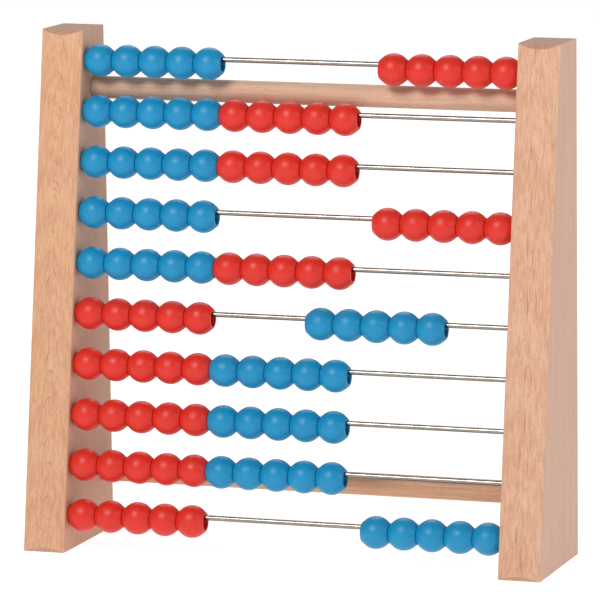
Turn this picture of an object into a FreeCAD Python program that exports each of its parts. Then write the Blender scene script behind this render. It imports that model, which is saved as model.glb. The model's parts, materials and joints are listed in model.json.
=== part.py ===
import FreeCAD, Part
import math
import os

# Bead frame for counting: two tapered wooden uprights, two round wooden rails behind,
# ten steel rods and ten wooden beads on each rod, five blue and five red.
# X runs left to right, Y runs front to back, Z runs up from the surface it stands on.
# All sizes are in millimetres.

V = FreeCAD.Vector

# --- driving sizes ---------------------------------------------------------

inner_width = 199.0         # clear distance between the two uprights
upright_thickness = 19.0    # thickness of an upright along X
height = 230.0              # height of an upright
foot_depth = 67.0           # depth of an upright at the bottom, arris to arris
head_depth = 27.0           # depth of an upright at the top, arris to arris
head_setback = 29.5         # how far the front arris leans back from bottom to top
edge_bulge = 2.0            # how far the rounded front and rear edges stand past the arrises
end_chamfer = 2.3           # height of the sloped cut across each rounded edge, top and bottom
arris_radius = 0.8          # easing of the four long arrises of an upright

row_count = 10              # rods, counted from the top and evenly spaced
bottom_row_height = 18.0    # height of the lowest rod
top_row_drop = 11.75        # highest rod below the top of the uprights
rod_diameter = 2.3
rod_setback = 6.4           # rods sit this far behind the front arris
rod_socket_floor = 7.0      # wood left beyond the blind holes for the rods

rail_diameter = 10.0
rail_socket_floor = 6.0     # wood left beyond the blind holes for the rails
top_rail_share = 0.675      # top rail's place on the way down from the first rod to the second
bottom_rail_height = 28.8   # bottom rail above the feet
rail_from_rear = 13.5       # rails sit this far ahead of the rear arris
rail_end_chamfer = 0.6

bead_diameter = 14.5
bead_length = 12.49         # along the bore
bead_cone_angle = 39.4      # a bead is a ball in the middle and runs on as a cone of this slope, in degrees
bead_rim = 0.35             # easing between the cones and the flat ends
bead_bore = 6.5             # the bore is much wider than the rod, so a bead hangs on it
bead_mouth = 0.2            # easing of the two mouths of the bore
beads_per_group = 5
split_row = 6               # the row whose blue group stands in the middle
split_row_share = 0.6       # share of the free travel that is to the left of that group

# --- clearances ------------------------------------------------------------

socket_clearance = 0.02     # round a rod or a rail in its blind hole
socket_end_clearance = 0.5  # behind the end of a rod or a rail
bead_gap = 0.2              # between neighbouring beads and between a bead and an upright
hang_clearance = 0.03       # between the top of a rod and the bore that hangs on it

# --- layout of the rows ----------------------------------------------------

# Rows where the second group has been pushed across to the right upright.
parted_rows = (1, 4, 10)
# Rows 1 to 5 have blue beads on the left, the other rows have red beads on the left.
blue_first_rows = (1, 2, 3, 4, 5)

# --- derived sizes ---------------------------------------------------------

half_inner = inner_width / 2.0
overall_width = inner_width + 2.0 * upright_thickness
rod_socket_depth = upright_thickness - rod_socket_floor
rail_socket_depth = upright_thickness - rail_socket_floor
row_spacing = (height - top_row_drop - bottom_row_height) / (row_count - 1)
rear_lean = foot_depth - head_setback - head_depth
front_slope = head_setback / height
rear_slope = rear_lean / height

# Radius of a bead's flat ends before their rim and the mouth of the bore are eased.
cone_sin = math.sin(math.radians(bead_cone_angle))
cone_cos = math.cos(math.radians(bead_cone_angle))
bead_end_r = (bead_diameter / 2.0 - bead_length / 2.0 * cone_sin) / cone_cos
bead_end_ring = bead_end_r - bead_bore / 2.0
rim_r = min(bead_rim, 0.4 * bead_end_ring)
mouth_r = min(bead_mouth, 0.4 * bead_end_ring)
bead_pitch = bead_length + bead_gap
group_length = beads_per_group * bead_length + (beads_per_group - 1) * bead_gap
free_travel = inner_width - 2.0 * group_length - 3.0 * bead_gap
split_row_gap = split_row_share * free_travel
bead_drop = (bead_bore - rod_diameter) / 2.0 - hang_clearance

# The overall depth includes both rounded edges; Y = 0 is the middle of it.
front_stretch = math.sqrt(1.0 + front_slope ** 2)
rear_stretch = math.sqrt(1.0 + rear_slope ** 2)
bulge_front_y = -edge_bulge * front_stretch + front_slope * end_chamfer
bulge_rear_y = foot_depth + edge_bulge * rear_stretch - rear_slope * end_chamfer
y_middle = (bulge_front_y + bulge_rear_y) / 2.0


def front_arris_y(z):
    return front_slope * z - y_middle


def rear_arris_y(z):
    return foot_depth - rear_slope * z - y_middle


def row_height(row):
    return bottom_row_height + (row_count - row) * row_spacing


def rod_centre(row):
    z = row_height(row)
    return front_arris_y(z) + rod_setback, z


def rail_centres():
    z_top = row_height(1) - top_rail_share * row_spacing
    z_bottom = bottom_rail_height
    top = (rear_arris_y(z_top) - rail_from_rear, z_top)
    bottom = (rear_arris_y(z_bottom) - rail_from_rear, z_bottom)
    return top, bottom


# --- uprights --------------------------------------------------------------

def side_profile():
    # Outline seen from the side: leaning edges pushed out by the bulge, with the sloped
    # cuts at the ends running back to the arris corners.
    low = end_chamfer
    high = height - end_chamfer
    points = [
        V(0, front_arris_y(0.0), 0),
        V(0, front_arris_y(low) - edge_bulge * front_stretch, low),
        V(0, front_arris_y(high) - edge_bulge * front_stretch, high),
        V(0, front_arris_y(height), height),
        V(0, rear_arris_y(height), height),
        V(0, rear_arris_y(high) + edge_bulge * rear_stretch, high),
        V(0, rear_arris_y(low) + edge_bulge * rear_stretch, low),
        V(0, rear_arris_y(0.0), 0),
    ]
    return Part.Face(Part.makePolygon(points + [points[0]]))


def rounded_edge_bar(slope, arris_at_foot, facing):
    # A long bar whose cross-section is as thick as the upright, with one edge rounded to
    # a shallow arc.  The bar runs parallel to the leaning edge.  facing is -1 for the
    # front edge and +1 for the rear edge.
    half = upright_thickness / 2.0
    back = foot_depth * 2.0
    start = V(-half, 0, 0)
    end = V(half, 0, 0)
    crown = V(0, facing * edge_bulge, 0)
    edges = [
        Part.Arc(start, crown, end).toShape(),
        Part.makeLine(end, V(half, -facing * back, 0)),
        Part.makeLine(V(half, -facing * back, 0), V(-half, -facing * back, 0)),
        Part.makeLine(V(-half, -facing * back, 0), start),
    ]
    section = Part.Face(Part.Wire(edges))
    reach = height / 2.0
    bar = section.extrude(V(0, 0, height * front_stretch + 2.0 * reach))
    bar.translate(V(0, 0, -reach))
    arrises = []
    for edge in bar.Edges:
        box = edge.BoundBox
        if abs(box.YMin) < 1e-6 and abs(box.YMax) < 1e-6 and box.ZLength > height:
            arrises.append(edge)
    bar = bar.makeFillet(arris_radius, arrises)
    bar.rotate(V(0, 0, 0), V(1, 0, 0), -math.degrees(math.atan(slope)))
    bar.translate(V(0, arris_at_foot, 0))
    return bar


def upright_blank():
    slab = side_profile().extrude(V(upright_thickness, 0, 0))
    slab.translate(V(-upright_thickness / 2.0, 0, 0))
    front = rounded_edge_bar(front_slope, front_arris_y(0.0), -1)
    rear = rounded_edge_bar(-rear_slope, rear_arris_y(0.0), 1)
    return slab.common(front).common(rear).removeSplitter()


def socket(x_face, inward, diameter, depth, y, z):
    # A blind hole from the inner face of an upright; inward is the X direction of drilling.
    overshoot = 1.0
    radius = diameter / 2.0 + socket_clearance
    start = V(x_face - inward * overshoot, y, z)
    return Part.makeCylinder(radius, depth + overshoot, start, V(inward, 0, 0))


def upright(side):
    # side is -1 for the left upright and +1 for the right one.
    body = upright_blank()
    body.translate(V(side * (half_inner + upright_thickness / 2.0), 0, 0))
    holes = []
    for row in range(1, row_count + 1):
        y, z = rod_centre(row)
        holes.append(socket(side * half_inner, side, rod_diameter, rod_socket_depth, y, z))
    for y, z in rail_centres():
        holes.append(socket(side * half_inner, side, rail_diameter, rail_socket_depth, y, z))
    return body.cut(holes)


# --- rails and rods --------------------------------------------------------

def round_bar(diameter, socket_depth, y, z, chamfer):
    reach = half_inner + socket_depth - socket_end_clearance
    bar = Part.makeCylinder(diameter / 2.0, 2.0 * reach, V(-reach, y, z), V(1, 0, 0))
    if chamfer > 0.0:
        rims = [edge for edge in bar.Edges if edge.BoundBox.XLength < 1e-6]
        bar = bar.makeChamfer(chamfer, rims)
    return bar


# --- beads -----------------------------------------------------------------

def rounding(centre, radius, start, end):
    # An arc about centre, from one direction to another in degrees.
    points = []
    for angle in (start, (start + end) / 2.0, end):
        turn = math.radians(angle)
        x = centre[0] + radius * math.cos(turn)
        points.append(V(x, centre[1] + radius * math.sin(turn), 0))
    return points


def bead(x, y, z):
    # Revolved about the bore: ball-shaped middle, two cones that touch it, eased flat ends
    # and the bore with its two eased mouths.
    half = bead_length / 2.0
    bore_r = bead_bore / 2.0
    steep = 90.0 - bead_cone_angle
    rim_x = half - rim_r
    rim_y = (bead_diameter / 2.0 - rim_r - rim_x * cone_sin) / cone_cos
    ball = rounding((0.0, 0.0), bead_diameter / 2.0, 180.0 - steep, steep)
    rim = rounding((rim_x, rim_y), rim_r, steep, 0.0)
    mouth = rounding((half - mouth_r, bore_r + mouth_r), mouth_r, 0.0, -90.0)
    left_rim = [V(-point.x, point.y, 0) for point in reversed(rim)]
    left_mouth = [V(-point.x, point.y, 0) for point in reversed(mouth)]
    arcs = [ball, rim, mouth, left_mouth, left_rim]
    edges = []
    for current, following in zip(arcs, arcs[1:] + arcs[:1]):
        edges.append(Part.Arc(current[0], current[1], current[2]).toShape())
        edges.append(Part.makeLine(current[2], following[0]))
    turned = Part.Face(Part.Wire(edges)).revolve(V(0, 0, 0), V(1, 0, 0), 360.0)
    turned.translate(V(x, y, z))
    return turned


def bead_group(row, left_end):
    # left_end is the X of the group's left face.
    y, z = rod_centre(row)
    beads = []
    for index in range(beads_per_group):
        x = left_end + bead_length / 2.0 + index * bead_pitch
        beads.append(bead(x, y, z - bead_drop))
    return Part.makeCompound(beads)


def group_left_ends(row):
    first = -half_inner + bead_gap
    if row in parted_rows:
        second = half_inner - bead_gap - group_length
    elif row == split_row:
        second = first + group_length + bead_gap + split_row_gap
    else:
        second = first + group_length + bead_gap
    return first, second


# --- assembly --------------------------------------------------------------

def write(node, shape):
    shape.exportStep(os.path.join("parts", node + ".step"))


os.makedirs("parts", exist_ok=True)

write("left_upright", upright(-1))
write("right_upright", upright(1))

top_centre, bottom_centre = rail_centres()
write("top_rail", round_bar(rail_diameter, rail_socket_depth, top_centre[0], top_centre[1],
                            rail_end_chamfer))
write("bottom_rail", round_bar(rail_diameter, rail_socket_depth, bottom_centre[0],
                               bottom_centre[1], rail_end_chamfer))

for row in range(1, row_count + 1):
    y_rod, z_rod = rod_centre(row)
    write("rod_%02d" % row, round_bar(rod_diameter, rod_socket_depth, y_rod, z_rod, 0.0))

for row in range(1, row_count + 1):
    left_end, right_end = group_left_ends(row)
    if row in blue_first_rows:
        colours = ("blue", "red")
    else:
        colours = ("red", "blue")
    write("row_%02d_%s_beads" % (row, colours[0]), bead_group(row, left_end))
    write("row_%02d_%s_beads" % (row, colours[1]), bead_group(row, right_end))

print("overall", overall_width, bulge_rear_y - bulge_front_y, height)
print("bead length", bead_length, "free travel", free_travel)
print("split row: left gap", split_row_gap, "right gap", free_travel - split_row_gap)
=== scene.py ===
import json
import math
import random

import bmesh
import bpy
from mathutils import Matrix, Vector

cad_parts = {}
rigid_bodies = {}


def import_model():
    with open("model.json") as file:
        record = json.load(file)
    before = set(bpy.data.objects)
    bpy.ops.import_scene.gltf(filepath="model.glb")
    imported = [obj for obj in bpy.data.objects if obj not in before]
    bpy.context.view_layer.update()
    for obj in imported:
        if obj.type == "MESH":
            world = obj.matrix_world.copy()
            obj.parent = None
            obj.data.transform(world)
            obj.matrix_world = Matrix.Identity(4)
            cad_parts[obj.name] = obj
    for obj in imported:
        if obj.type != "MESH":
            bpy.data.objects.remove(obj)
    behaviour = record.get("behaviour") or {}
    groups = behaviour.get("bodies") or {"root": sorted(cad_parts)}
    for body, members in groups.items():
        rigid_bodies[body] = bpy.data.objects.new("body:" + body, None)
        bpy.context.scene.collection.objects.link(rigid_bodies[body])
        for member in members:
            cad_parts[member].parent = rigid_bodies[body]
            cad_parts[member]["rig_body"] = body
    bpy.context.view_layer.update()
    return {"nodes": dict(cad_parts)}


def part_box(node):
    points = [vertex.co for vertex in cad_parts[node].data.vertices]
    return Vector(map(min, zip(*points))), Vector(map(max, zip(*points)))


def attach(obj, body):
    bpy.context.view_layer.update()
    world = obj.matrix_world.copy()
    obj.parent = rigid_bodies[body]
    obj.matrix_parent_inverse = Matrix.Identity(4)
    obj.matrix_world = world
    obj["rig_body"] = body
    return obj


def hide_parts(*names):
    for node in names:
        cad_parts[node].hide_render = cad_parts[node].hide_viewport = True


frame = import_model()
scene = bpy.context.scene

# ---------------------------------------------------------------------------
# Sizes, in metres
# ---------------------------------------------------------------------------

MM = 0.001
FOOT_DEPTH = 67.0 * MM          # upright at the bottom, arris to arris
HEAD_DEPTH = 27.0 * MM          # upright at the top
HEAD_SETBACK = 29.5 * MM        # lean of the front arris
EDGE_BULGE = 2.0 * MM           # crown of the rounded front and rear edges
END_CHAMFER = 2.3 * MM          # height of the sloped cuts at the ends of the edges
EDGE_COLUMNS = 14               # facets across a rounded edge
EASED_ARRIS = 0.55 * MM         # set-back of the easing of the long arrises
EASED_END = 0.40 * MM           # the same for the end faces
EASED_CHAMFER = 0.16 * MM       # the same where a sloped cut meets a rounded edge
EASED_FACETS = 4                # facets across an eased arris
END_ANGLE = 30.0                # degrees; an edge of an upright that turns more is eased

SOCKET_GAP = 0.04 * MM          # round a rod or a rail in its hole
COUNTERSINK = 0.22 * MM         # small cone at the mouth of each hole
ROD_FLOOR = 7.0 * MM            # wood beyond the rod holes
RAIL_FLOOR = 6.0 * MM           # wood beyond the rail holes
HOLE_FACETS = 48
CUTTER_LEAD = 1.0 * MM          # how far a hole's cutter starts outside the wood

RAIL_FACETS = 96
RAIL_CHAMFER = 0.6 * MM
ROD_FACETS = 40
ROD_CHAMFER = 0.1 * MM

BEADS = 5
BEAD_GAP = 0.2 * MM
BEAD_CONE_ANGLE = 39.4          # degrees; the ball-shaped middle runs on as cones of this slope
BEAD_RIM = 0.35 * MM            # easing between the cones and the flat ends
BORE_RADIUS = 3.25 * MM
BORE_MOUTH = 0.2 * MM           # easing of the mouths of the bore
BEAD_FACETS = 56
CREASE = 40.0                   # degrees; a sharper edge of wood or steel is shaded as an edge
BEAD_CREASE = 60.0              # the same for a bead

ROWS = range(1, 11)
UPRIGHTS = ("left_upright", "right_upright")
RAILS = ("top_rail", "bottom_rail")
RODS = ["rod_%02d" % row for row in ROWS]
COLOURS = ("blue", "red")

HEIGHT = (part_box("left_upright")[1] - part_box("left_upright")[0]).z
FRONT_SLOPE = HEAD_SETBACK / HEIGHT
REAR_SLOPE = (FOOT_DEPTH - HEAD_SETBACK - HEAD_DEPTH) / HEIGHT
FRONT_STRETCH = math.hypot(1.0, FRONT_SLOPE)
REAR_STRETCH = math.hypot(1.0, REAR_SLOPE)


# ---------------------------------------------------------------------------
# Mesh helpers
# ---------------------------------------------------------------------------

def centre_of(node):
    low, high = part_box(node)
    return (low + high) / 2


def radius_of(node):
    low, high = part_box(node)
    return (high.z - low.z) / 2


def object_from(name, bm):
    mesh = bpy.data.meshes.new(name)
    bmesh.ops.recalc_face_normals(bm, faces=bm.faces)
    bm.to_mesh(mesh)
    bm.free()
    obj = bpy.data.objects.new(name, mesh)
    scene.collection.objects.link(obj)
    return obj


def apply_modifiers(obj):
    bpy.context.view_layer.update()
    graph = bpy.context.evaluated_depsgraph_get()
    mesh = bpy.data.meshes.new_from_object(obj.evaluated_get(graph))
    old = obj.data
    obj.modifiers.clear()
    obj.data = mesh
    bpy.data.meshes.remove(old)


def smooth_by_angle(obj, degrees):
    """Shades the mesh smooth and keeps the edges that turn by more than the angle."""
    bm = bmesh.new()
    bm.from_mesh(obj.data)
    limit = math.radians(degrees)
    for face in bm.faces:
        face.smooth = True
    for edge in bm.edges:
        edge.smooth = len(edge.link_faces) == 2 and edge.calc_face_angle(0.0) < limit
    bm.to_mesh(obj.data)
    bm.free()


def weigh_normals(obj):
    modifier = obj.modifiers.new("flat faces stay flat", "WEIGHTED_NORMAL")
    modifier.keep_sharp = True
    modifier.weight = 60
    apply_modifiers(obj)


def lathe(bm, profile, facets, closed, place=Matrix.Identity(4)):
    """Turns a profile of (x, radius) points about X; points on the axis become one vertex."""
    rings = []
    for x, radius in profile:
        if radius == 0.0:
            rings.append([bm.verts.new(place @ Vector((x, 0.0, 0.0)))] * facets)
            continue
        ring = []
        for step in range(facets):
            angle = 2.0 * math.pi * step / facets
            point = Vector((x, radius * math.cos(angle), radius * math.sin(angle)))
            ring.append(bm.verts.new(place @ point))
        rings.append(ring)
    pairs = list(zip(rings, rings[1:]))
    if closed:
        pairs.append((rings[-1], rings[0]))
    for first, second in pairs:
        for step in range(facets):
            after = (step + 1) % facets
            corners = [first[step], first[after], second[after], second[step]]
            bm.faces.new(list(dict.fromkeys(corners)))
    return [vertex for ring in rings for vertex in dict.fromkeys(ring)]


# ---------------------------------------------------------------------------
# Uprights
# ---------------------------------------------------------------------------

def edge_crown(x, half):
    """How far a rounded edge stands past its arrises, at x from the middle of the board."""
    radius = (half ** 2 + EDGE_BULGE ** 2) / (2.0 * EDGE_BULGE)
    return math.sqrt(radius ** 2 - x ** 2) - (radius - EDGE_BULGE)


def edge_point(x, crown, z, facing, arris_at_foot):
    if facing < 0:
        return Vector((x, arris_at_foot + FRONT_SLOPE * z - crown * FRONT_STRETCH, z))
    return Vector((x, arris_at_foot - REAR_SLOPE * z + crown * REAR_STRETCH, z))


def rounded_edge(bm, x_middle, half, facing, arris_at_foot):
    """Columns of vertices over a rounded edge: foot, foot crease, head crease, head."""
    columns = []
    for step in range(EDGE_COLUMNS + 1):
        x = -half + 2.0 * half * step / EDGE_COLUMNS
        crown = edge_crown(x, half) if 0 < step < EDGE_COLUMNS else 0.0
        cut = END_CHAMFER * crown / EDGE_BULGE
        column = [bm.verts.new(edge_point(x_middle + x, 0.0, 0.0, facing, arris_at_foot))]
        if crown > 0.0:
            for z in (cut, HEIGHT - cut):
                column.append(bm.verts.new(edge_point(x_middle + x, crown, z, facing, arris_at_foot)))
        column.append(bm.verts.new(edge_point(x_middle + x, 0.0, HEIGHT, facing, arris_at_foot)))
        columns.append(column)
    return columns


def skin_edge(bm, columns):
    """Fills a rounded edge and its two sloped cuts, and returns the crease edges."""
    creases = []
    for left, right in zip(columns, columns[1:]):
        low = [left[0], right[0]] + ([right[1]] if len(right) == 4 else [])
        low += [left[1]] if len(left) == 4 else []
        bm.faces.new(low)
        high = [left[-1], right[-1]] + ([right[2]] if len(right) == 4 else [])
        high += [left[2]] if len(left) == 4 else []
        bm.faces.new(high)
        a = left[1:3] if len(left) == 4 else [left[0], left[-1]]
        b = right[1:3] if len(right) == 4 else [right[0], right[-1]]
        bm.faces.new([a[0], b[0], b[1], a[1]])
        creases.append((a[0], b[0]))
        creases.append((a[1], b[1]))
    return creases


def hole_cutter(bm, x_face, inward, radius, depth, y, z):
    mouth = radius + COUNTERSINK
    profile = [(-CUTTER_LEAD, 0.0), (-CUTTER_LEAD, mouth), (0.0, mouth),
               (COUNTERSINK, radius), (depth, radius), (depth, 0.0)]
    turn = Matrix.Rotation(0.0 if inward > 0 else math.pi, 4, "Z")
    lathe(bm, profile, HOLE_FACETS, False, Matrix.Translation((x_face, y, z)) @ turn)


def cut_holes(obj, x_face, inward, thickness):
    bm = bmesh.new()
    for nodes, floor in ((RODS, ROD_FLOOR), (RAILS, RAIL_FLOOR)):
        for node in nodes:
            centre = centre_of(node)
            radius = radius_of(node) + SOCKET_GAP
            hole_cutter(bm, x_face, inward, radius, thickness - floor, centre.y, centre.z)
    cutter = object_from("cutter", bm)
    modifier = obj.modifiers.new("holes", "BOOLEAN")
    modifier.operation = "DIFFERENCE"
    modifier.solver = "EXACT"
    modifier.object = cutter
    apply_modifiers(obj)
    bpy.data.objects.remove(cutter)


def upright(node):
    low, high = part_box(node)
    middle = (low.x + high.x) / 2
    half = (high.x - low.x) / 2
    depth_at_cut = EDGE_BULGE * FRONT_STRETCH - FRONT_SLOPE * END_CHAMFER
    front_at_foot = low.y + depth_at_cut
    rear_at_foot = front_at_foot + FOOT_DEPTH
    bm = bmesh.new()
    front = rounded_edge(bm, middle, half, -1, front_at_foot)
    rear = rounded_edge(bm, middle, half, 1, rear_at_foot)
    creases = skin_edge(bm, front) + skin_edge(bm, rear)
    arrises = []
    for end in (0, -1):
        bm.faces.new([front[end][0], front[end][-1], rear[end][-1], rear[end][0]])
        arrises.append((front[end][0], front[end][-1]))
        arrises.append((rear[end][0], rear[end][-1]))
        bm.faces.new([column[end] for column in front] + [column[end] for column in reversed(rear)])
    weights = bm.edges.layers.float.new("bevel_weight_edge")
    for edge in bm.edges:
        if edge.calc_face_angle(0.0) > math.radians(END_ANGLE):
            edge[weights] = EASED_END / EASED_ARRIS
    for a, b in creases:
        bm.edges.get((a, b))[weights] = EASED_CHAMFER / EASED_ARRIS
    for a, b in arrises:
        bm.edges.get((a, b))[weights] = 1.0
    obj = object_from("wood_" + node, bm)
    bevel = obj.modifiers.new("eased edges", "BEVEL")
    bevel.limit_method = "WEIGHT"
    bevel.width = EASED_ARRIS
    bevel.segments = EASED_FACETS
    bevel.use_clamp_overlap = True
    apply_modifiers(obj)
    # The bevel's corners would otherwise stand a little past the solid.
    for vertex in obj.data.vertices:
        for axis in range(3):
            vertex.co[axis] = min(max(vertex.co[axis], low[axis]), high[axis])
    inward = -1.0 if middle < 0.0 else 1.0
    x_face = high.x if middle < 0.0 else low.x
    cut_holes(obj, x_face, inward, 2.0 * half)
    smooth_by_angle(obj, CREASE)
    weigh_normals(obj)
    return obj


# ---------------------------------------------------------------------------
# Rails, rods and beads
# ---------------------------------------------------------------------------

def round_bar(name, node, facets, chamfer):
    low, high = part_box(node)
    radius = radius_of(node)
    half = (high.x - low.x) / 2
    profile = [(-half, 0.0), (-half, radius - chamfer), (-half + chamfer, radius),
               (half - chamfer, radius), (half, radius - chamfer), (half, 0.0)]
    bm = bmesh.new()
    lathe(bm, profile, facets, False, Matrix.Translation(centre_of(node)))
    obj = object_from(name, bm)
    smooth_by_angle(obj, CREASE)
    return obj


def arc(centre, radius, start, end, steps):
    """Points on a circle from one angle to another, in degrees, both ends included."""
    points = []
    for step in range(steps + 1):
        angle = math.radians(start + (end - start) * step / steps)
        x = centre[0] + radius * math.cos(angle)
        points.append((x, centre[1] + radius * math.sin(angle)))
    return points


def bead_profile(radius, length):
    """Closed outline of a bead: ball, cone, eased rim, flat end, eased mouth and bore."""
    half = length / 2
    slope = math.radians(BEAD_CONE_ANGLE)
    steep = 90.0 - BEAD_CONE_ANGLE
    rim_x = half - BEAD_RIM
    rim_y = (radius - BEAD_RIM - rim_x * math.sin(slope)) / math.cos(slope)
    mouth_centre = (half - BORE_MOUTH, BORE_RADIUS + BORE_MOUTH)
    right = arc((0.0, 0.0), radius, 90.0, steep, 12)
    rim = arc((rim_x, rim_y), BEAD_RIM, steep, 0.0, 5)
    right.append(((right[-1][0] + rim[0][0]) / 2, (right[-1][1] + rim[0][1]) / 2))
    right += rim
    right.append((half, (rim_y + mouth_centre[1]) / 2))
    right += arc(mouth_centre, BORE_MOUTH, 0.0, -90.0, 4)
    right += [(half * share, BORE_RADIUS) for share in (0.6, 0.2)]
    left = [(-x, r) for x, r in reversed(right[1:])]
    return right + left


def bead_group(node, seed):
    """Five turned beads in one piece, each with its own grain direction and tint."""
    low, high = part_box(node)
    length = (high.x - low.x - (BEADS - 1) * BEAD_GAP) / BEADS
    centre = centre_of(node)
    profile = bead_profile(radius_of(node), length)
    dice = random.Random(seed)
    bm = bmesh.new()
    grain = bm.verts.layers.float_vector.new("grain")
    tint = bm.verts.layers.float.new("tint")
    for index in range(BEADS):
        x = low.x + length / 2 + index * (length + BEAD_GAP)
        place = Matrix.Translation((x, centre.y, centre.z))
        axis = Vector([dice.gauss(0.0, 1.0) for _ in range(3)]).normalized()
        turn = Matrix.Rotation(dice.uniform(0.0, math.tau), 3, axis)
        shift = Vector([dice.uniform(-1.0, 1.0) for _ in range(3)])
        shade = dice.uniform(0.0, 1.0)
        for vertex in lathe(bm, profile, BEAD_FACETS, True, place):
            vertex[grain] = turn @ (vertex.co - place.translation) + shift
            vertex[tint] = shade
    obj = object_from("beads_" + node, bm)
    smooth_by_angle(obj, BEAD_CREASE)
    return obj


# ---------------------------------------------------------------------------
# Materials
# ---------------------------------------------------------------------------

def srgb(red, green, blue):
    def linear(c):
        c /= 255.0
        return c / 12.92 if c <= 0.04045 else ((c + 0.055) / 1.055) ** 2.4
    return (linear(red), linear(green), linear(blue))


class Finish:
    """A principled material and short calls for the nodes that feed it."""

    def __init__(self, name):
        self.material = bpy.data.materials.new(name)
        self.material.use_nodes = True
        self.tree = self.material.node_tree
        self.tree.nodes.clear()
        out = self.tree.nodes.new("ShaderNodeOutputMaterial")
        self.shader = self.tree.nodes.new("ShaderNodeBsdfPrincipled")
        self.tree.links.new(self.shader.outputs["BSDF"], out.inputs["Surface"])

    def put(self, socket, value):
        if isinstance(value, bpy.types.NodeSocket):
            self.tree.links.new(value, socket)
        elif isinstance(value, tuple) and socket.type == "RGBA":
            socket.default_value = (*value, 1.0)
        else:
            socket.default_value = value

    def set(self, socket, value):
        self.put(self.shader.inputs[socket], value)

    def node(self, kind, inputs=(), **settings):
        node = self.tree.nodes.new(kind)
        for key, value in settings.items():
            setattr(node, key, value)
        for key, value in dict(inputs).items():
            self.put(node.inputs[key], value)
        return node

    def math(self, operation, a, b=0.0):
        return self.node("ShaderNodeMath", {0: a, 1: b}, operation=operation).outputs[0]

    def vmath(self, operation, a, b):
        return self.node("ShaderNodeVectorMath", {0: a, 1: b}, operation=operation).outputs[0]

    def split(self, vector):
        return self.node("ShaderNodeSeparateXYZ", {0: vector}).outputs

    def join(self, x, y, z):
        return self.node("ShaderNodeCombineXYZ", {0: x, 1: y, 2: z}).outputs[0]

    def place(self):
        return self.node("ShaderNodeTexCoord").outputs["Object"]

    def normal(self):
        return self.node("ShaderNodeNewGeometry").outputs["True Normal"]

    def attribute(self, name, output):
        return self.node("ShaderNodeAttribute", attribute_name=name).outputs[output]

    def noise(self, vector, scale, detail=2.0, roughness=0.5):
        inputs = {"Vector": vector, "Scale": scale, "Detail": detail, "Roughness": roughness}
        return self.node("ShaderNodeTexNoise", inputs).outputs["Fac"]

    def cells(self, vector, scale):
        node = self.node("ShaderNodeTexVoronoi", {"Vector": vector, "Scale": scale})
        return node.outputs["Distance"], self.split(node.outputs["Color"])[0]

    def ramp(self, value, low, high, to_low=0.0, to_high=1.0):
        inputs = {"Value": value, "From Min": low, "From Max": high,
                  "To Min": to_low, "To Max": to_high}
        return self.node("ShaderNodeMapRange", inputs, interpolation_type="SMOOTHSTEP").outputs[0]

    def mix(self, factor, a, b):
        return self.node("ShaderNodeMix", {0: factor, 6: a, 7: b}, data_type="RGBA").outputs[2]

    def bump(self, height, strength, distance):
        inputs = {"Strength": strength, "Distance": distance, "Height": height}
        self.set("Normal", self.node("ShaderNodeBump", inputs).outputs[0])


WOOD_LIGHT = srgb(217, 169, 134)
WOOD_DARK = srgb(192, 140, 105)
WOOD_ROSY_LIGHT = srgb(220, 176, 148)
WOOD_ROSY_DARK = srgb(194, 143, 113)
WOOD_PALE_LIGHT = srgb(222, 184, 158)
WOOD_PALE_DARK = srgb(200, 158, 130)
WOOD_FLECK = srgb(134, 82, 52)
# Painted light: a paler, cooler tone that stands for cool light and sheen on the side faces of the
# uprights
WOOD_SIDE_PAINTED_COOL_LIGHT = srgb(208, 170, 154)
WOOD_END = srgb(156, 114, 92)
WOOD_END_PALE = srgb(200, 162, 136)


# How fine each pattern of the wood is, in cells per metre
WAVER = 24.0
RINGS = 520.0
STREAKS = 1150.0
FIBRES = 3200.0
SPECKS = 2400.0
DASHES = 1050.0
PORES = 2200.0
ARCH_MARKS = 620.0
LONG_STREAKS = 900.0

# How fine a pattern is along the grain, as a share of how fine it is across
FINE_DRAW = 0.02
LAZY_DRAW = 0.25
DASH_DRAW = 0.26

WAVER_REACH = 0.004             # metres that the waver moves the rings by
RING_DRIFT = 0.012              # how much the rings change along the grain
FIGURE_BEND = 0.010             # metres that the waver moves the figure by
FIGURE_HALF = (0.0012, 0.0042)  # half-width of the figure in metres: where it fades, and ends
ARCH_RISE = 700.0               # sharpness of the arches, per metre
UPWARD = 2                      # the grain's axis in an upright


def drawn_out(along, share):
    """Scales for a pattern that is drawn out along the grain."""
    scales = [1.0, 1.0, 1.0]
    scales[along] = share
    return tuple(scales)


def growth_rings(f, place, p, along, pith, waver):
    from_pith = f.vmath("MULTIPLY", f.vmath("SUBTRACT", place, pith), drawn_out(along, FINE_DRAW))
    radius = f.node("ShaderNodeVectorMath", {0: from_pith}, operation="LENGTH").outputs["Value"]
    radius = f.math("ADD", radius, f.math("MULTIPLY", waver, WAVER_REACH))
    length = f.math("MULTIPLY", f.split(p)[along], RING_DRIFT)
    return f.noise(f.join(radius, length, 0.0), RINGS, 3.0, 0.62)


def ray_dashes(f, p, along, facing):
    """Short dark dashes, fewer on the broad sides than on the edges."""
    distance, pick = f.cells(f.vmath("MULTIPLY", p, drawn_out(along, DASH_DRAW)), DASHES)
    share = f.ramp(facing, 0.3, 0.9, 0.42, 0.14)
    dash = f.ramp(distance, 0.06, 0.30, 1.0, 0.0)
    return f.math("MULTIPLY", dash, f.math("LESS_THAN", pick, share))


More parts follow.
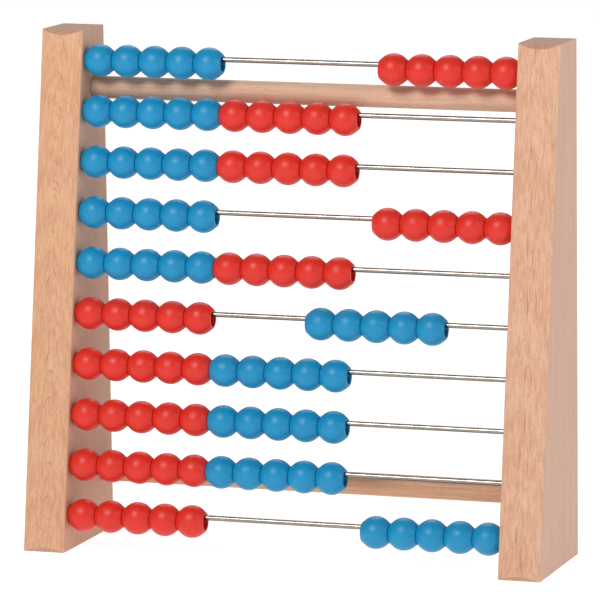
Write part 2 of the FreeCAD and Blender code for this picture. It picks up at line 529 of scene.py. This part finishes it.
def figured(f, colour, place, waver, figure):
    """Adds arched marks and long dark streaks round the middle of the front.

    figure is (x, arches, streaks): that middle, and how strong the two kinds of marks are.
    """
    middle, arches, long_streaks = figure
    x, y, z = f.split(place)
    bend = f.math("MULTIPLY", f.math("SUBTRACT", waver, 0.5), FIGURE_BEND)
    off = f.math("ADD", f.math("SUBTRACT", x, middle), bend)
    near = f.ramp(f.math("ABSOLUTE", off), *FIGURE_HALF, 1.0, 0.0)
    front = f.ramp(f.split(f.normal())[1], -0.5, -0.8, 0.0, 1.0)
    near = f.math("MULTIPLY", near, front)
    arch = f.math("ADD", z, f.math("MULTIPLY", f.math("MULTIPLY", off, off), ARCH_RISE))
    marks = f.noise(f.join(f.math("MULTIPLY", off, 0.35), arch, 0.0), ARCH_MARKS, 2.0, 0.55)
    mark = f.math("MULTIPLY", f.ramp(marks, 0.60, 0.66, 0.0, arches), near)
    colour = f.mix(mark, colour, WOOD_FLECK)
    line = f.noise(f.join(off, f.math("MULTIPLY", z, 0.07), 0.5), LONG_STREAKS, 2.0, 0.5)
    mark = f.math("MULTIPLY", f.ramp(line, 0.57, 0.66, 0.0, long_streaks), near)
    return f.mix(mark, colour, WOOD_FLECK)


def end_grain(f, colour, p, along):
    """Shows darker, pored wood where a face cuts across the grain."""
    steep = f.ramp(f.math("ABSOLUTE", f.split(f.normal())[along]), 0.35, 0.6)
    pores = f.noise(p, PORES, 2.0, 0.6)
    cut = f.mix(f.ramp(pores, 0.35, 0.65), WOOD_END, WOOD_END_PALE)
    return f.mix(f.math("MULTIPLY", steep, 0.85), colour, cut)


def beech(name, along, shift, pith, tones, figure=None):
    """Lacquered beech. along is the grain's axis, pith the heart of the trunk's rings."""
    f = Finish(name)
    light, dark = tones
    place = f.place()
    p = f.vmath("ADD", place, shift)
    fine = drawn_out(along, FINE_DRAW)
    lazy = drawn_out(along, LAZY_DRAW)
    waver = f.noise(f.vmath("MULTIPLY", p, lazy), WAVER, 2.0)
    rings = growth_rings(f, place, p, along, pith, waver)
    streaks = f.noise(f.vmath("MULTIPLY", p, fine), STREAKS, 3.0, 0.65)
    fibre = f.noise(f.vmath("MULTIPLY", p, fine), FIBRES, 2.0, 0.5)
    tone = f.math("ADD", f.math("MULTIPLY", rings, 0.30), f.math("MULTIPLY", streaks, 0.70))
    colour = f.mix(f.ramp(tone, 0.30, 0.66), dark, light)
    colour = f.mix(f.ramp(fibre, 0.3, 0.7, 0.35, 0.0), colour, dark)
    facing = f.math("ABSOLUTE", f.split(f.normal())[0 if along == UPWARD else 2])
    # Painted light: the side faces of an upright are mixed towards a paler, cooler tone that stands
    # for the cool light and sheen falling on them
    if along == UPWARD:
        colour = f.mix(f.ramp(facing, 0.5, 0.9, 0.0, 0.35), colour, WOOD_SIDE_PAINTED_COOL_LIGHT)
    speck = f.noise(f.vmath("MULTIPLY", p, lazy), SPECKS, 2.0, 0.6)
    colour = f.mix(f.ramp(speck, 0.58, 0.76, 0.0, 0.14), colour, WOOD_FLECK)
    dash = ray_dashes(f, p, along, facing)
    colour = f.mix(f.math("MULTIPLY", dash, 0.42), colour, WOOD_FLECK)
    if figure:
        colour = figured(f, colour, place, waver, figure)
    f.set("Base Color", end_grain(f, colour, p, along))
    dull = f.ramp(streaks, 0.3, 0.7, 0.50, 0.60)
    f.set("Roughness", f.math("ADD", dull, f.math("MULTIPLY", dash, 0.1)))
    f.set("Specular IOR Level", 0.30)
    height = f.math("SUBTRACT", f.math("ADD", f.math("MULTIPLY", fibre, 0.6), streaks), dash)
    f.bump(height, 0.25, 0.00010)
    return f.material


def lacquer(name, body, deep):
    """Coloured lacquer over a turned wooden bead: faint grain, slight unevenness, satin."""
    f = Finish(name)
    grain = f.attribute("grain", "Vector")
    tint = f.attribute("tint", "Fac")
    fine = f.noise(f.vmath("MULTIPLY", grain, (1.0, 1.0, 0.08)), 1900.0, 2.0, 0.6)
    cloud = f.noise(grain, 260.0, 2.0, 0.5)
    colour = f.mix(f.ramp(cloud, 0.3, 0.7, 0.0, 0.35), body, deep)
    colour = f.mix(f.ramp(fine, 0.35, 0.7, 0.0, 0.30), colour, deep)
    colour = f.mix(f.math("MULTIPLY", tint, 0.22), colour, deep)
    f.set("Base Color", colour)
    f.set("Roughness", f.ramp(fine, 0.3, 0.7, 0.37, 0.47))
    f.set("Specular IOR Level", 0.40)
    height = f.math("ADD", fine, f.math("MULTIPLY", cloud, 0.6))
    f.bump(height, 0.30, 0.00012)
    return f.material


def drawn_steel(name):
    """Bright drawn wire: long fine lines and a soft, slightly warm polish."""
    f = Finish(name)
    p = f.vmath("MULTIPLY", f.place(), (0.02, 1.0, 1.0))
    lines = f.noise(p, 5200.0, 2.0, 0.6)
    dull = f.noise(f.place(), 60.0, 2.0, 0.5)
    f.set("Base Color", f.mix(f.ramp(lines, 0.3, 0.7), srgb(138, 130, 122), srgb(162, 154, 146)))
    f.set("Metallic", 1.0)
    f.set("Specular Tint", srgb(96, 88, 80))
    f.set("Roughness", f.ramp(dull, 0.3, 0.7, 0.20, 0.28))
    f.bump(lines, 0.10, 0.00003)
    return f.material


WARM = (WOOD_LIGHT, WOOD_DARK)
ROSY = (WOOD_ROSY_LIGHT, WOOD_ROSY_DARK)
PALE = (WOOD_PALE_LIGHT, WOOD_PALE_DARK)
WOODS = {
    "left_upright": beech("beech, left upright", 2, (0.31, 0.12, 0.05), (-0.109, 0.060, 0.4),
                          WARM, (centre_of("left_upright").x, 0.45, 0.15)),
    "right_upright": beech("beech, right upright", 2, (0.83, 0.47, 0.91), (0.120, 0.075, 0.4),
                           ROSY, (centre_of("right_upright").x, 0.0, 0.50)),
    "top_rail": beech("beech, top rail", 0, (0.22, 0.65, 0.13), (0.0, 0.04, 0.18), PALE),
    "bottom_rail": beech("beech, bottom rail", 0, (0.57, 0.18, 0.77), (0.0, 0.05, 0.05), WARM),
}
LACQUERS = {
    "blue": lacquer("blue lacquer", srgb(12, 138, 184), srgb(0, 124, 174)),
    "red": lacquer("red lacquer", srgb(216, 44, 30), srgb(202, 34, 22)),
}
STEEL = drawn_steel("drawn steel")


# ---------------------------------------------------------------------------
# Pieces
# ---------------------------------------------------------------------------

def stand_for(piece, node, material):
    piece.data.materials.clear()
    piece.data.materials.append(material)
    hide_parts(node)
    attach(piece, frame["nodes"][node]["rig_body"])


for node in UPRIGHTS:
    stand_for(upright(node), node, WOODS[node])
for node in RAILS:
    rail = round_bar("wood_" + node, node, RAIL_FACETS, RAIL_CHAMFER)
    stand_for(rail, node, WOODS[node])
for node in RODS:
    rod = round_bar("steel_" + node, node, ROD_FACETS, ROD_CHAMFER)
    stand_for(rod, node, STEEL)
for row in ROWS:
    for colour in COLOURS:
        node = "row_%02d_%s_beads" % (row, colour)
        seed = 100 * row + COLOURS.index(colour)
        stand_for(bead_group(node, seed), node, LACQUERS[colour])


# ---------------------------------------------------------------------------
# Floor, light and camera
# ---------------------------------------------------------------------------

WHITE = (1.0, 1.0, 1.0)
FLOOR_HALF = 20.0               # metres from the middle of the floor to its edges
FLOOR_GLOW = 0.89               # light that the floor gives off by itself
SKY_WHITE_TO = 0.03             # rise of a view ray up to which the sky is white
SKY_DARK_FROM = 0.14            # rise from which it is at its darkest
SKY_OVERHEAD = 0.22             # strength there; it is 1 at the horizon
LENS = 308.0                    # focal length in mm, on a sensor 36 mm wide
CAMERA_PLACE = (0.6704, -2.1497, 0.4475)
CAMERA_AIM = (0.0026, -0.0092, 0.1136)

# Name, azimuth and elevation in degrees, distance and size in metres, strength, colour.
# strength is what a white card at the object, facing the light, would give back.
SOFTBOXES = (
    ("key", -14.0, 36.0, 2.0, 0.7, 0.60, WHITE),
    ("side", 66.0, 26.0, 1.8, 0.6, 0.12, (0.95, 0.98, 1.0)),
    ("flank", 90.0, 9.0, 1.8, 0.4, 0.16, (0.80, 0.92, 1.0)),
    ("back", 195.0, 40.0, 2.2, 1.2, 0.25, WHITE),
)


def floor():
    bm = bmesh.new()
    bmesh.ops.create_grid(bm, x_segments=1, y_segments=1, size=FLOOR_HALF)
    obj = object_from("floor", bm)
    f = Finish("pale lit floor")
    f.set("Base Color", (0.35, 0.35, 0.35))
    f.set("Roughness", 0.9)
    f.set("Specular IOR Level", 0.1)
    f.set("Emission Color", WHITE)
    f.set("Emission Strength", FLOOR_GLOW)
    obj.data.materials.append(f.material)


def sky():
    """White at the horizon, darker overhead."""
    world = bpy.data.worlds.new("studio")
    scene.world = world
    world.use_nodes = True
    tree = world.node_tree
    tree.nodes.clear()
    out = tree.nodes.new("ShaderNodeOutputWorld")
    back = tree.nodes.new("ShaderNodeBackground")
    back.inputs["Color"].default_value = (*WHITE, 1.0)
    place = tree.nodes.new("ShaderNodeTexCoord")
    split = tree.nodes.new("ShaderNodeSeparateXYZ")
    fall = tree.nodes.new("ShaderNodeMapRange")
    fall.interpolation_type = "SMOOTHSTEP"
    fall.inputs["From Min"].default_value = SKY_WHITE_TO
    fall.inputs["From Max"].default_value = SKY_DARK_FROM
    fall.inputs["To Min"].default_value = 1.0
    fall.inputs["To Max"].default_value = SKY_OVERHEAD
    tree.links.new(place.outputs["Generated"], split.inputs[0])
    tree.links.new(split.outputs[2], fall.inputs["Value"])
    tree.links.new(fall.outputs[0], back.inputs["Strength"])
    tree.links.new(back.outputs[0], out.inputs["Surface"])


def softbox(name, azimuth, elevation, distance, size, strength, colour):
    turn = math.radians(azimuth)
    rise = math.radians(elevation)
    flat = math.cos(rise)
    away = Vector((math.sin(turn) * flat, -math.cos(turn) * flat, math.sin(rise)))
    light = bpy.data.lights.new(name, "AREA")
    light.shape = "SQUARE"
    light.size = size
    light.energy = strength * (math.pi * distance) ** 2
    light.color = colour
    obj = bpy.data.objects.new(name, light)
    scene.collection.objects.link(obj)
    obj.location = Vector((0.0, 0.0, HEIGHT / 2)) + away * distance
    obj.rotation_euler = (-away).to_track_quat("-Z", "Y").to_euler()


def camera():
    data = bpy.data.cameras.new("camera")
    data.sensor_width = 36.0
    data.lens = LENS
    data.clip_start = 0.1
    data.clip_end = 100.0
    obj = bpy.data.objects.new("camera", data)
    scene.collection.objects.link(obj)
    obj.location = CAMERA_PLACE
    aim = Vector(CAMERA_AIM) - obj.location
    obj.rotation_euler = aim.to_track_quat("-Z", "Y").to_euler()
    scene.camera = obj


scene.view_settings.view_transform = "Standard"
floor()
sky()
for settings in SOFTBOXES:
    softbox(*settings)
camera()
